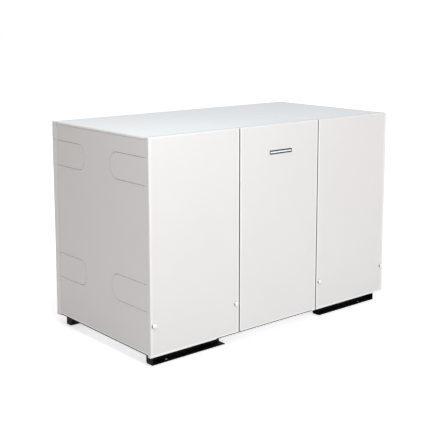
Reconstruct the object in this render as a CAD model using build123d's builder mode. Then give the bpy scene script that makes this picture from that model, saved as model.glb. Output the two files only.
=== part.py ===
from build123d import *
import os

# Ground source heat pump: a floor-standing steel cabinet around two refrigerant circuits.
# Millimetres. X runs along the front, Y from the doors to the rear, Z up from the floor.

# Cabinet
cabinet_width = 1450
cabinet_depth = 750
cabinet_height = 912
sheet = 1.5
seat_gap = 0.3
frame_gap = 0.5
panel_gap = 1.5
edge_radius = 3

# Rails
rail_height = 48
rail_depth = 44
rail_length = 395
rail_inset = 31
rail_setback = 33
rail_sheet = 3
rail_bend_radius = 9
floor_bolt_hole_radius = 6
floor_bolt_hole_distance = 88
flange_hole_radius = 3.5
flange_hole_setback = 30
flange_hole_distances = (12, 36)

# Doors
door_depth = 20
door_gap = 5
door_edge_radius = 4.5
seal_gap = 3
hook_width = 40
hook_sheet = 2
hook_inset = 110
hook_drop = 10
hook_lip = 5
hook_throat = 2
lining_thickness = 15
lining_seat = 8
seal_width = 12

# Quarter-turn locks
lock_height = 137
lock_inset = 18
cap_radius = 10.25
cap_proud = 8
cap_rim = 5.6
cap_slot_length = 11.3
cap_slot_depth = 1.6
stud_radius = 4
stud_length = 16
stud_clearance = 0.3
stud_chamfer = 1
collar_radius = 7
collar_thickness = 1
cup_radius = 6.5
cup_length = 12
cup_depth = 8
cup_clearance = 0.5

# Side and rear panels
side_flange = 10
side_foot_gap = 5
side_edge_radius = 2
rear_return = 39
knockout_length = 255
rear_knockout_length = 231
knockout_height = 116
knockout_radius = 48
knockout_slot = 1.7
knockout_edge = 3
knockout_bridge = 4
knockout_low = 192
knockout_high = 715
return_slot = 1.3

# Pan-head screws of the rear panel and the electrical box
screw_head_radius = 4
screw_head_height = 2.4
screw_hole_radius = 2.4
screw_shank_radius = 2
rear_screw_inset = 40
rear_screw_low = 20
rear_screw_high = 22

# Top panels
top_lip = 10
top_front_lip = 5
top_edge_radius = 8
top_seam = 2

# Frame
post_width = 45
post_sheet = 2
mullion_width = 100
mullion_depth = 60
top_rail_lip = 35
gutter_depth = 40
gutter_floor = 9
bar_width = 30
bar_height = 25
pan_sheet = 2.5
pan_edge = 40
pan_rib_length = 500
pan_rib_width = 26
pan_rib_height = 4
pan_rib_spacing = 104
pan_rib_slope = 30

# Bolts that hold the rails under the pan
bolt_radius = 5
bolt_head_radius = 9.2
bolt_head_height = 6.4
bolt_hole_radius = 5.5
bolt_inset = 110

# Refrigerant circuits
compressor_inset = 255
compressor_y = -170
compressor_radius = 95
compressor_height = 430
compressor_base = 4
compressor_base_side = 220
foot_height = 22
foot_radius = 17
foot_inset = 22
foot_stud_radius = 5
foot_stud_proud = 4
foot_slope = 8
dome_height = 45
band_height = 8
band_proud = 2
band_low = 45
band_high = 331
terminal_box_width = 90
terminal_box_height = 110
terminal_box_corner = 8
terminal_box_proud = 28
terminal_box_mid = 258
suction_port_height = 280
suction_port_offset = 30
discharge_port_offset = 20
gas_port_wall = 4
exchanger_width = 120
exchanger_height = 530
exchanger_depth = 180
exchanger_cover = 8
exchanger_y = 150
plate_count = 12
plate_lip = 4
plate_corner = 20
plate_share = 0.45
refrigerant_port_radius = 20
port_spread_x = 30
port_spread_z = 225
port_radius = 21
port_length = 12
evaporator_inset = 125
condenser_inset = 375
evaporator_stand = 32
condenser_stand = 132
stand_sheet = 3
suction_radius = 17.5
discharge_radius = 14
liquid_radius = 11
pipe_bend = 30
liquid_bend = 21
pipe_lane_y = -20
gas_port_length = 20
drier_radius = 30
drier_length = 120
drier_cone = 22
drier_neck_wall = 2
drier_from_port = 30
valve_radius = 19
valve_length = 50
motor_radius = 17.1
motor_length = 50

# Water headers and their rear stubs
header_radius = 30.15
header_wall = 2.9
header_end = 10
header_y = 295
stub_proud = 30
stub_x = 240
groove_depth = 1.6
groove_width = 8
groove_from_end = 16
stub_hole_clearance = 6
drain_radius = 11
drain_hex_radius = 15
drain_length = 52
drain_hex_length = 26
drain_hex_from_end = 41.6
drain_x = 60
lever_length = 80
lever_width = 14
lever_thickness = 3
lever_hub_radius = 9
lever_along_valve = 0.55

# Electrical box
box_height = 450
box_depth = 130
box_setback = 48
box_low = 430
box_sheet = 1.5
cover_depth = 12
cover_screw_inset = 22
switch_x = 130
switch_drop = 90
switch_body = 60
switch_shaft_radius = 5
switch_hole_radius = 14
switch_bore_depth = 24
switch_back_gap = 2
handle_radius = 24
handle_depth = 14
handle_slope = 6
handle_gap = 1
handle_grip_length = 41
handle_grip_width = 12
handle_grip_depth = 12
din_depth = 8
din_height = 35
din_inset = 30
din_shares = (0.25, 0.7)
contactor_width = 45
contactor_height = 80
contactor_depth = 70
contactor_pitch = 50
contactor_low_x = -150
contactor_count = 4
contactor_front_width = 36
contactor_front_height = 40
contactor_front_depth = 14
terminal_count = 14
terminal_pitch = 9
terminal_width = 8
terminal_height = 48
terminal_depth = 35
control_unit_width = 140
control_unit_height = 96
control_unit_depth = 49
control_unit_slope = 3
control_unit_x = 90
gland_radius = 14
gland_bore_radius = 8
gland_count = 4
gland_pitch = 45
gland_inset = 205
gland_z = 820
gland_proud = 22
gland_hole_radius = 11.2
gland_thread_radius = 10.5
gland_tail = 11
gland_nut_height = 8.8
gland_dome_radius = 11.9
gland_dome_slope = 12

# Planes and faces that the pieces share
left_x = -cabinet_width / 2
front_y = -(cabinet_depth + cap_proud + stub_proud) / 2 + cap_proud
rear_y = front_y + cabinet_depth
floor_z = rail_height
top_z = rail_height + cabinet_height
seam_x = cabinet_width / 6
frame_front_y = front_y + door_depth + seal_gap
frame_side_x = cabinet_width / 2 - side_flange - frame_gap
rear_inner_y = rear_y - sheet - frame_gap
rear_return_y = rear_y - rear_return - panel_gap
hook_z = top_z - hook_drop
lock_z = floor_z + lock_height
pan_floor_z = floor_z + pan_sheet
compressor_x = cabinet_width / 2 - compressor_inset
evaporator_x = cabinet_width / 2 - evaporator_inset
condenser_x = cabinet_width / 2 - condenser_inset
gland_x = cabinet_width / 2 - gland_inset

os.makedirs("parts", exist_ok=True)


def write_piece(builder, name):
    builder.part.label = name
    export_step(builder.part, f"parts/{name}.step")


def facing_front(x, y, z):
    """Plane whose normal points out of the doors, with its own Y axis upwards."""
    return Plane(origin=(x, y, z), x_dir=(1, 0, 0), z_dir=(0, -1, 0))


def facing_rear(x, y, z):
    """Plane whose normal points out of the rear panel, with its own Y axis upwards."""
    return Plane(origin=(x, y, z), x_dir=(-1, 0, 0), z_dir=(0, 1, 0))


def folded_section(points, thickness):
    """Section of a folded sheet: the points follow one face, and the metal lies to their left."""
    with BuildSketch() as section:
        with BuildLine():
            Polyline(*points)
            offset(amount=thickness, side=Side.LEFT, kind=Kind.INTERSECTION)
        make_face()
    return section.sketch


# Four black rails carry the cabinet: channels that face outwards, closed at their outer ends only.
rail_centre_x = cabinet_width / 2 - rail_inset - rail_length / 2
rail_centre_ys = {
    -1: front_y + rail_setback + rail_depth / 2,
    1: rear_y - rail_setback - rail_depth / 2,
}
bolt_spread = rail_length / 2 - bolt_inset
rail_places = {
    "front_left": (-1, -1),
    "front_right": (1, -1),
    "rear_left": (-1, 1),
    "rear_right": (1, 1),
}
bolt_places = [
    (side * rail_centre_x + offset_x, rail_centre_ys[end])
    for side, end in rail_places.values()
    for offset_x in (-bolt_spread, bolt_spread)
]
for place, (side, end) in rail_places.items():
    centre_y = rail_centre_ys[end]
    with BuildPart() as rail:
        with BuildSketch():
            with Locations((side * rail_centre_x, centre_y)):
                Rectangle(rail_length, rail_depth)
        extrude(amount=rail_height)
        low_edges = rail.edges().filter_by(Axis.X).group_by(Axis.Z)[0]
        fillet(low_edges.sort_by(Axis.Y)[-1 if end < 0 else 0], radius=rail_bend_radius)
        open_face = rail.faces().sort_by(Axis.Y)[0 if end < 0 else -1]
        inner_end = rail.faces().sort_by(Axis.X)[-1 if side < 0 else 0]
        offset(amount=-rail_sheet, openings=[open_face, inner_end])
        with BuildSketch(Plane.XY.offset(rail_height)):
            with Locations(*[p for p in bolt_places if p[0] * side > 0 and p[1] == centre_y]):
                Circle(bolt_hole_radius)
        extrude(amount=-rail_sheet, mode=Mode.SUBTRACT)
        outer_end_x = side * (rail_centre_x + rail_length / 2)
        small_hole_y = centre_y + end * (rail_depth / 2 - flange_hole_setback)
        with BuildSketch():
            with Locations((outer_end_x - side * floor_bolt_hole_distance, centre_y)):
                Circle(floor_bolt_hole_radius)
            for distance in flange_hole_distances:
                with Locations((outer_end_x - side * distance, small_hole_y)):
                    Circle(flange_hole_radius)
        extrude(amount=rail_sheet, mode=Mode.SUBTRACT)
    write_piece(rail, f"rail_{place}")

# Hexagon bolts hold each rail to the pan, with their nuts on the pan's floor.
with BuildPart() as rail_bolts:
    with BuildSketch(Plane.XY.offset(rail_height - rail_sheet)):
        with Locations(*bolt_places):
            RegularPolygon(bolt_head_radius, 6)
    extrude(amount=-bolt_head_height)
    with BuildSketch(Plane.XY.offset(rail_height - rail_sheet)):
        with Locations(*bolt_places):
            Circle(bolt_radius)
    extrude(amount=rail_sheet + pan_sheet)
    with BuildSketch(Plane.XY.offset(pan_floor_z)):
        with Locations(*bolt_places):
            RegularPolygon(bolt_head_radius, 6)
    extrude(amount=bolt_head_height)
write_piece(rail_bolts, "rail_bolts")

# The pan is one folded tray with two pressed ribs; the corner posts stand outside its corners.
pan_width = 2 * (frame_side_x - post_sheet - seat_gap)
pan_front_y = frame_front_y + post_sheet + seat_gap
pan_rear_y = rear_inner_y - post_sheet - seat_gap
pan_centre_y = (pan_front_y + pan_rear_y) / 2
with BuildPart() as base_pan:
    with BuildSketch(Plane.XY.offset(floor_z)):
        with Locations((0, pan_centre_y)):
            Rectangle(pan_width, pan_rear_y - pan_front_y)
    extrude(amount=pan_edge)
    offset(amount=-pan_sheet, openings=base_pan.faces().sort_by(Axis.Z)[-1])
    with BuildSketch(Plane.XY.offset(pan_floor_z)):
        with GridLocations(0, pan_rib_spacing, 1, 2):
            SlotOverall(pan_rib_length, pan_rib_width)
    extrude(amount=pan_rib_height, taper=pan_rib_slope)
    with BuildSketch(Plane.XY.offset(floor_z)):
        with Locations(*bolt_places):
            Circle(bolt_hole_radius)
    extrude(amount=pan_sheet, mode=Mode.SUBTRACT)
write_piece(base_pan, "base_pan")

# Angle-iron corner posts, the front pair under the gutter rail and the rear pair under the rear rail.
top_rail_low_z = hook_z - top_rail_lip
rear_rail_top_z = top_z - sheet - seat_gap
for end_name, plane_y, end, post_top in (
    ("front", frame_front_y, -1, top_rail_low_z - seat_gap),
    ("rear", rear_inner_y, 1, rear_rail_top_z - top_rail_lip - seat_gap),
):
    with BuildPart() as posts:
        with BuildSketch(Plane.XY.offset(floor_z)):
            for side in (-1, 1):
                corner_x = side * frame_side_x
                with Locations((corner_x - side * post_width / 2, plane_y - end * post_sheet / 2)):
                    Rectangle(post_width, post_sheet)
                with Locations((corner_x - side * post_sheet / 2, plane_y - end * post_width / 2)):
                    Rectangle(post_sheet, post_width)
        extrude(amount=post_top - floor_z)
        upright_edges = posts.edges().filter_by(Axis.Z)
        corner_edges = upright_edges.filter_by(
            lambda edge: abs(abs(edge.center().X) - frame_side_x) < seat_gap
            and abs(edge.center().Y - plane_y) < seat_gap
        )
        fillet(corner_edges, radius=post_sheet)
    write_piece(posts, f"{end_name}_posts")

# Channel mullions stand on the pan's front edge behind the door seams.
mullion_low_z = floor_z + pan_edge + seat_gap
with BuildPart() as mullions:
    with BuildSketch(Plane.XY.offset(mullion_low_z)):
        for side in (-1, 1):
            add(
                folded_section(
                    [
                        (side * seam_x - mullion_width / 2, frame_front_y + mullion_depth),
                        (side * seam_x - mullion_width / 2, frame_front_y),
                        (side * seam_x + mullion_width / 2, frame_front_y),
                        (side * seam_x + mullion_width / 2, frame_front_y + mullion_depth),
                    ],
                    post_sheet,
                )
            )
    extrude(amount=top_rail_low_z - seat_gap - mullion_low_z)
write_piece(mullions, "mullions")

# The front top rail is a gutter: the door hooks drop over its front edge.
gutter_back_z = top_z - top_lip - seat_gap
with BuildPart() as top_rail_front:
    with BuildSketch(Plane.YZ.offset(-frame_side_x)):
        add(
            folded_section(
                [
                    (frame_front_y, hook_z),
                    (frame_front_y, hook_z - top_rail_lip),
                ],
                post_sheet,
            )
        )
        add(
            folded_section(
                [
                    (frame_front_y, hook_z - gutter_floor - post_sheet),
                    (frame_front_y + gutter_depth, hook_z - gutter_floor - post_sheet),
                    (frame_front_y + gutter_depth, gutter_back_z),
                ],
                post_sheet,
            )
        )
    extrude(amount=2 * frame_side_x)
write_piece(top_rail_front, "top_rail_front")

# The rear top rail is an angle under the rear panel's folded top edge.
with BuildPart() as top_rail_rear:
    with BuildSketch(Plane.YZ.offset(-frame_side_x)):
        add(
            folded_section(
                [
                    (rear_inner_y, rear_rail_top_z - top_rail_lip),
                    (rear_inner_y, rear_rail_top_z),
                    (rear_inner_y - rear_return + sheet, rear_rail_top_z),
                ],
                post_sheet,
            )
        )
    extrude(amount=2 * frame_side_x)
write_piece(top_rail_rear, "top_rail_rear")

# Cross bars run front to rear under the seams and side edges of the top panels.
bar_top_z = top_z - top_lip - seat_gap
bar_front_y = frame_front_y + gutter_depth + seat_gap
bar_rear_y = rear_inner_y - post_sheet - seat_gap
edge_bar_x = frame_side_x - post_sheet - bar_width / 2
with BuildPart() as top_bars:
    with BuildSketch(Plane.XZ.offset(-bar_front_y)):
        for bar_x in (-edge_bar_x, -seam_x, seam_x, edge_bar_x):
            add(
                folded_section(
                    [
                        (bar_x + bar_width / 2, bar_top_z - bar_height),
                        (bar_x + bar_width / 2, bar_top_z),
                        (bar_x - bar_width / 2, bar_top_z),
                        (bar_x - bar_width / 2, bar_top_z - bar_height),
                    ],
                    post_sheet,
                )
            )
    extrude(amount=-(bar_rear_y - bar_front_y))
write_piece(top_bars, "top_bars")

# Side panels: flanged sheets whose slotted knock-outs open towards the nearest edge.
knockout_mid_zs = [floor_z + low + knockout_height / 2 for low in (knockout_low, knockout_high)]
side_front_y = front_y + door_depth + panel_gap
side_low_z = floor_z + side_foot_gap
side_top_z = top_z - top_lip - frame_gap
for side, side_name in ((-1, "left"), (1, "right")):
    outer_x = side * cabinet_width / 2
    with BuildPart() as side_panel:
        with BuildSketch(Plane.XY.offset(side_low_z)):
            with Locations((outer_x - side * side_flange / 2, (side_front_y + rear_return_y) / 2)):
                Rectangle(side_flange, rear_return_y - side_front_y)
        extrude(amount=side_top_z - side_low_z)
        outer_edges = side_panel.edges().group_by(Axis.X)[0 if side < 0 else -1]
        fillet(outer_edges, radius=side_edge_radius)
        inner_face = side_panel.faces().sort_by(Axis.X)[-1 if side < 0 else 0]
        offset(amount=-sheet, openings=inner_face)
        with BuildSketch(Plane.YZ.offset(outer_x)):
            for end, edge_y, length in (
                (-1, side_front_y, knockout_length),
                (1, rear_return_y, rear_knockout_length),
            ):
                reach = length + 2 * knockout_radius
                for middle_z in knockout_mid_zs:
                    with Locations((edge_y - end * (length / 2 - knockout_radius), middle_z)):
                        RectangleRounded(reach, knockout_height, knockout_radius)
                        RectangleRounded(
                            reach - 2 * knockout_slot,
                            knockout_height - 2 * knockout_slot,
                            knockout_radius - knockout_slot,
                            mode=Mode.SUBTRACT,
                        )
                    with Locations((edge_y + end * knockout_radius, middle_z)):
                        Rectangle(
                            2 * (knockout_radius + knockout_edge),
                            knockout_height + knockout_slot,
                            mode=Mode.SUBTRACT,
                        )
                    with Locations((edge_y - end * length, middle_z)):
                        Rectangle(knockout_radius, knockout_bridge, mode=Mode.SUBTRACT)
        extrude(amount=sheet, both=True, mode=Mode.SUBTRACT)
    write_piece(side_panel, f"side_panel_{side_name}")

# Foam mats damp the side panels from inside.
mat_thickness = side_flange - sheet - 2 * seat_gap
with BuildPart() as side_linings:
    for side in (-1, 1):
        mat_x = side * (cabinet_width / 2 - sheet - seat_gap - mat_thickness / 2)
        with BuildSketch(Plane.XY.offset(side_low_z + sheet + seat_gap)):
            with Locations((mat_x, (side_front_y + rear_return_y) / 2)):
                Rectangle(mat_thickness, rear_return_y - side_front_y - 2 * sheet - 2 * seat_gap)
        extrude(amount=side_top_z - side_low_z - 2 * sheet - 2 * seat_gap)
write_piece(side_linings, "side_linings")

# Water ports and headers share these heights.
evaporator_low_z = pan_floor_z + evaporator_stand + seat_gap
condenser_low_z = pan_floor_z + condenser_stand + seat_gap
evaporator_mid_z = evaporator_low_z + exchanger_height / 2
condenser_mid_z = condenser_low_z + exchanger_height / 2
header_places = {
    "brine_in": (-1, evaporator_x, evaporator_mid_z + port_spread_z),
    "brine_out": (-1, evaporator_x, evaporator_mid_z - port_spread_z),
    "heating_flow": (1, condenser_x, condenser_mid_z + port_spread_z),
    "heating_return": (1, condenser_x, condenser_mid_z - port_spread_z),
}

# The rear panel wraps round onto both sides, where slots carry on the lines of the knock-outs.
return_slot_zs = [
    middle_z + line * (knockout_height - knockout_slot) / 2
    for middle_z in knockout_mid_zs
    for line in (-1, 1)
]
gland_places = [(gland_x - gland_pitch * index, gland_z) for index in range(gland_count)]
rear_screw_places = [
    (side * screw_x, screw_z)
    for side in (-1, 1)
    for screw_x in (cabinet_width / 2 - rear_screw_inset, seam_x)
    for screw_z in (floor_z + rear_screw_low, top_z - rear_screw_high)
]
with BuildPart() as rear_panel:
    with BuildSketch(Plane.XY.offset(floor_z)):
        with Locations((0, rear_y - rear_return / 2)):
            Rectangle(cabinet_width, rear_return)
    extrude(amount=cabinet_height)
    rear_edges = rear_panel.edges().group_by(Axis.Y)[-1]
    fillet(rear_edges.filter_by(Axis.Z), radius=edge_radius)
    open_faces = [rear_panel.faces().sort_by(Axis.Y)[0], rear_panel.faces().sort_by(Axis.Z)[0]]
    offset(amount=-sheet, openings=open_faces)
    with BuildSketch(facing_rear(0, rear_y, 0)):
        for stub_side, _, stub_z in header_places.values():
            with Locations((-stub_side * stub_x, stub_z)):
                Circle(header_radius + stub_hole_clearance)
        with Locations(*[(-x, z) for x, z in gland_places]):
            Circle(gland_hole_radius)
        with Locations(*[(-x, z) for x, z in rear_screw_places]):
            Circle(screw_hole_radius)
    extrude(amount=-sheet, mode=Mode.SUBTRACT)
    for side in (-1, 1):
        with BuildSketch(Plane.YZ.offset(side * cabinet_width / 2)):
            with Locations(*[(rear_y - rear_return / 2, slot_z) for slot_z in return_slot_zs]):
                Rectangle(rear_return - 2 * knockout_edge, return_slot)
        extrude(amount=sheet, both=True, mode=Mode.SUBTRACT)
write_piece(rear_panel, "rear_panel")

# Pan-head screws hold the rear panel to the posts and the rear rail.
with BuildPart() as rear_screws:
    for screw_x, screw_z in rear_screw_places:
        with BuildSketch(facing_rear(screw_x, rear_y, screw_z)):
            Circle(screw_head_radius)
        extrude(amount=screw_head_height)
        with BuildSketch(facing_rear(screw_x, rear_y, screw_z)):
            Circle(screw_shank_radius)
        extrude(amount=-sheet)
write_piece(rear_screws, "rear_screws")

# Three shallow trays close the top; the outer ones roll down onto the side panels.
top_front_y = frame_front_y + frame_gap
top_rear_y = rear_return_y
top_spans = {
    "left": (left_x, -seam_x - top_seam / 2),
    "middle": (-seam_x + top_seam / 2, seam_x - top_seam / 2),
    "right": (seam_x + top_seam / 2, -left_x),
}
for place, (low_x, high_x) in top_spans.items():
    with BuildPart() as top_panel:
        with BuildSketch(Plane.XY.offset(top_z - top_lip)):
            with Locations(((low_x + high_x) / 2, (top_front_y + top_rear_y) / 2)):
                Rectangle(high_x - low_x, top_rear_y - top_front_y)
        extrude(amount=top_lip)
        upper_edges = top_panel.edges().group_by(Axis.Z)[-1].filter_by(Axis.Y).sort_by(Axis.X)
        if place != "middle":
            fillet(upper_edges[0 if place == "left" else -1], radius=top_edge_radius)
        offset(amount=-sheet, openings=top_panel.faces().sort_by(Axis.Z)[0])
        with BuildSketch(Plane.XY.offset(top_z - top_lip)):
            with Locations(((low_x + high_x) / 2, top_front_y)):
                Rectangle(high_x - low_x - 2 * sheet, 2 * sheet + gutter_depth)
        extrude(amount=top_lip - top_front_lip, mode=Mode.SUBTRACT)
    write_piece(top_panel, f"top_panel_{place}")

# Doors: shells with return flanges and two hooks each; the outer two carry the locks.
door_spans = {
    "left": (left_x, -seam_x - door_gap / 2),
    "middle": (-seam_x + door_gap / 2, seam_x - door_gap / 2),
    "right": (seam_x + door_gap / 2, -left_x),
}
lock_places = {
    "left_outer": door_spans["left"][0] + lock_inset,
    "left_inner": door_spans["left"][1] - lock_inset,
    "right_inner": door_spans["right"][0] + lock_inset,
    "right_outer": door_spans["right"][1] - lock_inset,
}
lining_inset = lock_inset + cup_radius + seal_gap
lining_front_y = front_y + sheet + seat_gap
lining_rear_y = lining_front_y + lining_thickness
hook_back_y = frame_front_y + post_sheet + hook_throat
for place, (low_x, high_x) in door_spans.items():
    with BuildPart() as door:
        with BuildSketch(Plane.XY.offset(floor_z)):
            with Locations(((low_x + high_x) / 2, front_y + door_depth / 2)):
                Rectangle(high_x - low_x, door_depth)
        extrude(amount=cabinet_height)
        front_edges = door.edges().group_by(Axis.Y)[0]
        fillet(front_edges, radius=door_edge_radius)
        offset(amount=-sheet, openings=door.faces().sort_by(Axis.Y)[-1])
        for hook_x in (low_x + hook_inset, high_x - hook_inset):
            with BuildSketch(Plane.YZ.offset(hook_x)):
                tab_front_y = front_y + sheet / 2
                tab_length = hook_back_y + hook_sheet - tab_front_y
                tab_low_z = hook_z + seat_gap
                with Locations((tab_front_y + tab_length / 2, tab_low_z + hook_sheet / 2)):
                    Rectangle(tab_length, hook_sheet)
                with Locations((hook_back_y + hook_sheet / 2, tab_low_z - hook_lip / 2)):
                    Rectangle(hook_sheet, hook_lip)
            extrude(amount=hook_width / 2, both=True)
        door_locks = [x for x in lock_places.values() if low_x < x < high_x]
        if door_locks:
            with BuildSketch(facing_front(0, front_y, lock_z)):
                with Locations(*[(x, 0) for x in door_locks]):
                    Circle(stud_radius + stud_clearance)
            extrude(amount=-sheet, mode=Mode.SUBTRACT)
    write_piece(door, f"door_{place}")
    with BuildPart() as lining:
        lining_low_z = floor_z + lining_seat
        lining_top_z = hook_z - lining_seat
        with BuildSketch(Plane.XY.offset(lining_low_z)):
            with Locations(((low_x + high_x) / 2, (lining_front_y + lining_rear_y) / 2)):
                Rectangle(high_x - low_x - 2 * lining_inset, lining_thickness)
        extrude(amount=lining_top_z - lining_low_z)
        chamfer(lining.edges().group_by(Axis.Y)[-1], length=lining_thickness / 4)
    write_piece(lining, f"door_lining_{place}")

# A foam ring for each door is stuck to the frame and meets the lining.
with BuildPart() as door_seals:
    for low_x, high_x in door_spans.values():
        ring_width = high_x - low_x - 2 * lining_inset - 2 * lining_seat
        ring_height = hook_z - floor_z - 4 * lining_seat
        with BuildSketch(facing_front((low_x + high_x) / 2, frame_front_y, (hook_z + floor_z) / 2)):
            Rectangle(ring_width, ring_height)
            Rectangle(ring_width - 2 * seal_width, ring_height - 2 * seal_width, mode=Mode.SUBTRACT)
        extrude(amount=frame_front_y - lining_rear_y - seat_gap)
write_piece(door_seals, "door_seals")

# Quarter-turn locks: a domed cap on a stud, with a collar behind the door's sheet.
for place, lock_x in lock_places.items():
    with BuildPart() as lock:
        with BuildSketch(Plane(origin=(lock_x, front_y, lock_z), x_dir=(1, 0, 0), z_dir=(0, 0, 1))):
            with BuildLine():
                cap_base = -seat_gap
                stud_end = stud_length - seat_gap
                collar_y = sheet + seat_gap
                Polyline(
                    (0, -cap_proud),
                    (0, stud_end),
                    (stud_radius - stud_chamfer, stud_end),
                    (stud_radius, stud_end - stud_chamfer),
                    (stud_radius, collar_y + collar_thickness),
                    (collar_radius, collar_y + collar_thickness),
                    (collar_radius, collar_y),
                    (stud_radius, collar_y),
                    (stud_radius, cap_base),
                    (cap_radius, cap_base),
                    (cap_radius, -cap_rim),
                )
                EllipticalCenterArc(
                    (0, -cap_rim), cap_radius, cap_proud - cap_rim, start_angle=270, arc_size=90
                )
            make_face()
        revolve(axis=Axis((lock_x, front_y, lock_z), (0, 1, 0)))
        with BuildSketch(facing_front(lock_x, front_y - cap_proud, lock_z)):
            SlotOverall(cap_slot_length, cap_slot_depth)
        extrude(amount=-cap_slot_depth, mode=Mode.SUBTRACT)
    write_piece(lock, f"lock_{place}")

# Receptacle cups on the posts and mullions take the studs.
with BuildPart() as lock_receptacles:
    for lock_x in lock_places.values():
        with BuildSketch(facing_front(lock_x, frame_front_y, lock_z)):
            Circle(cup_radius)
        extrude(amount=cup_length)
        with BuildSketch(facing_front(lock_x, frame_front_y - cup_length, lock_z)):
            Circle(stud_radius + cup_clearance)
        extrude(amount=-cup_depth, mode=Mode.SUBTRACT)
write_piece(lock_receptacles, "lock_receptacles")

# The electrical box hangs between the mullions, open to the front, with a back plate and rails.
box_half_width = seam_x - mullion_width / 2 - seat_gap
box_front_y = frame_front_y + box_setback
box_rear_y = box_front_y + box_depth
box_mid_z = box_low + box_height / 2
din_low_z, din_high_z = (box_low + box_height * share for share in din_shares)
with BuildPart() as control_box:
    with BuildSketch(facing_front(0, box_rear_y, box_mid_z)):
        Rectangle(2 * box_half_width, box_height)
    extrude(amount=box_depth)
    offset(amount=-box_sheet, openings=control_box.faces().sort_by(Axis.Y)[0])
    with BuildSketch(facing_front(0, box_rear_y - box_sheet, 0)):
        with Locations((0, din_low_z), (0, din_high_z)):
            Rectangle(2 * (box_half_width - din_inset), din_height)
    extrude(amount=din_depth)
write_piece(control_box, "control_box")

# The cover is a shallow tray with a round opening for the switch shaft.
switch_z = box_low + box_height - switch_drop
screw_places = [
    (x * (box_half_width - cover_screw_inset), box_mid_z + z * (box_height / 2 - cover_screw_inset))
    for x in (-1, 1)
    for z in (-1, 1)
]
with BuildPart() as control_box_cover:
    with BuildSketch(facing_front(0, box_front_y - seat_gap, box_mid_z)):
        Rectangle(2 * box_half_width, box_height)
    extrude(amount=cover_depth)
    cover_edges = control_box_cover.edges().group_by(Axis.Y)[0]
    fillet(cover_edges, radius=edge_radius)
    offset(amount=-box_sheet, openings=control_box_cover.faces().sort_by(Axis.Y)[-1])
    cover_face_y = box_front_y - seat_gap - cover_depth
    with BuildSketch(facing_front(0, cover_face_y, 0)):
        with Locations((switch_x, switch_z)):
            Circle(switch_hole_radius)
        with Locations(*screw_places):
            Circle(screw_hole_radius)
    extrude(amount=-box_sheet, mode=Mode.SUBTRACT)
write_piece(control_box_cover, "control_box_cover")

with BuildPart() as cover_screws:
    for screw_x, screw_z in screw_places:
        with BuildSketch(facing_front(screw_x, cover_face_y, screw_z)):
            Circle(screw_head_radius)
        extrude(amount=screw_head_height)
        with BuildSketch(facing_front(screw_x, cover_face_y, screw_z)):
            Circle(screw_shank_radius)
        extrude(amount=-cover_depth)
write_piece(cover_screws, "cover_screws")

# Main switch: a block on the back plate and a turning handle in front of the cover.
switch_face_y = cover_face_y + box_sheet + switch_back_gap
unit_rear_y = box_rear_y - box_sheet - din_depth - seat_gap
with BuildPart() as main_switch:
    with BuildSketch(facing_front(switch_x, unit_rear_y, switch_z)):
        RectangleRounded(switch_body, switch_body, edge_radius)
    extrude(amount=unit_rear_y - switch_face_y)
    with BuildSketch(facing_front(switch_x, switch_face_y, switch_z)):
        Circle(switch_shaft_radius + stud_clearance)
    extrude(amount=-switch_bore_depth, mode=Mode.SUBTRACT)
write_piece(main_switch, "main_switch")

handle_rear_y = cover_face_y - handle_gap
with BuildPart() as main_switch_handle:
    with BuildSketch(facing_front(switch_x, handle_rear_y, switch_z)):
        Circle(handle_radius)
    extrude(amount=handle_depth, taper=handle_slope)
    with BuildSketch(facing_front(switch_x, handle_rear_y - handle_depth, switch_z)):
        SlotOverall(handle_grip_length, handle_grip_width)
    extrude(amount=handle_grip_depth)
    with BuildSketch(facing_front(switch_x, handle_rear_y, switch_z)):
        Circle(switch_shaft_radius)
    extrude(amount=-(switch_face_y - handle_rear_y + switch_bore_depth - switch_back_gap))
write_piece(main_switch_handle, "main_switch_handle")

# Contactors on the upper rail, each with a stepped front.
with BuildPart() as contactors:
    for index in range(contactor_count):
        contactor_x = contactor_low_x + contactor_pitch * index
        with BuildSketch(facing_front(contactor_x, unit_rear_y, din_high_z)):
            Rectangle(contactor_width, contactor_height)
        extrude(amount=contactor_depth)
        with BuildSketch(facing_front(contactor_x, unit_rear_y - contactor_depth, din_high_z)):
            Rectangle(contactor_front_width, contactor_front_height)
        extrude(amount=contactor_front_depth)
write_piece(contactors, "contactors")

# Terminal blocks in a row on the lower rail.
with BuildPart() as terminal_blocks:
    for index in range(terminal_count):
        terminal_x = contactor_low_x + terminal_pitch * index
        with BuildSketch(facing_front(terminal_x, unit_rear_y, din_low_z)):
            Rectangle(terminal_width, terminal_height)
        extrude(amount=terminal_depth)
write_piece(terminal_blocks, "terminal_blocks")

# The control unit is a moulded case beside the terminals.
with BuildPart() as control_unit:
    with BuildSketch(facing_front(control_unit_x, unit_rear_y, din_low_z)):
        RectangleRounded(control_unit_width, control_unit_height, edge_radius)
    extrude(amount=control_unit_depth, taper=control_unit_slope)
write_piece(control_unit, "control_unit")

# Cable glands: a threaded body through the rear panel and a domed hexagon nut.
with BuildPart() as cable_glands:
    for glands_x, glands_z in gland_places:
        with BuildSketch(facing_rear(glands_x, rear_y, glands_z)):
            RegularPolygon(gland_radius, 6)
        extrude(amount=gland_nut_height)
        with BuildSketch(facing_rear(glands_x, rear_y + gland_nut_height, glands_z)):
            Circle(gland_dome_radius)
        extrude(amount=gland_proud - gland_nut_height, taper=gland_dome_slope)
        with BuildSketch(facing_rear(glands_x, rear_y, glands_z)):
            Circle(gland_thread_radius)
        extrude(amount=-gland_tail)
        with BuildSketch(facing_rear(glands_x, rear_y + gland_proud, glands_z)):
            Circle(gland_bore_radius)
        extrude(amount=-gland_proud - gland_tail, mode=Mode.SUBTRACT)
write_piece(cable_glands, "cable_glands")

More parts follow.
